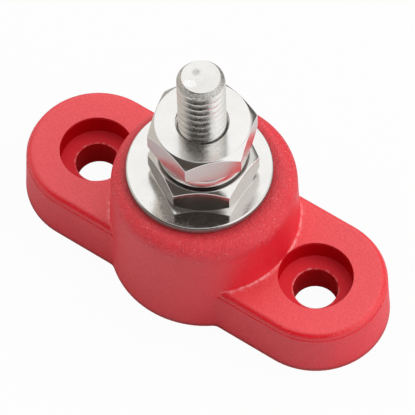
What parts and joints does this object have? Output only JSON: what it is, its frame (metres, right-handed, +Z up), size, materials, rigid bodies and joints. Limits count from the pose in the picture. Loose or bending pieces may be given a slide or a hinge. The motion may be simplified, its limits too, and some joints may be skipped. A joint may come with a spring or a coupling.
{
  "type": "power stud",
  "caption": "Insulated power stud: moulded base with a round boss and two counterbored ears, threaded steel stud, flat washer, spring washer and hex nuts.",
  "frame": {"origin": "on the stud's axis, in the plane of the base's underside", "axes": "+Z up along the stud, +X along the row of the two screw holes"},
  "size_m": [0.0556, 0.0262, 0.0411],
  "materials": {
    "base_plastic": "fine grained, satin",
    "stud_steel": "rolled thread, bright",
    "washer_steel": "bright with fine scratches",
    "nut_steel": "bright, machined faces",
    "spring_steel": "bright, tumbled edges"
  },
  "bodies": {
    "root": {"base": "base_plastic", "stud": "stud_steel", "flat_washer": "washer_steel", "lower_nut": "nut_steel"},
    "lifted_washer": {"spring_washer": "spring_steel"},
    "turning_nut": {"upper_nut": "nut_steel"}
  },
  "joints": [
    {"name": "nut_lift", "type": "slide", "parent": "root", "child": "lifted_washer", "axis": [0, 0, 1], "range_m": [0, 0.0166]},
    {"name": "nut_turn", "type": "hinge", "parent": "lifted_washer", "child": "turning_nut", "pos_m": [0, 0, 0.0279], "axis": [0, 0, 1], "range_deg": [0, 4680]}
  ],
  "couplings": [
    {"joint": "nut_lift", "follows": "nut_turn", "m_per_rad": 0.00020213}
  ]
}
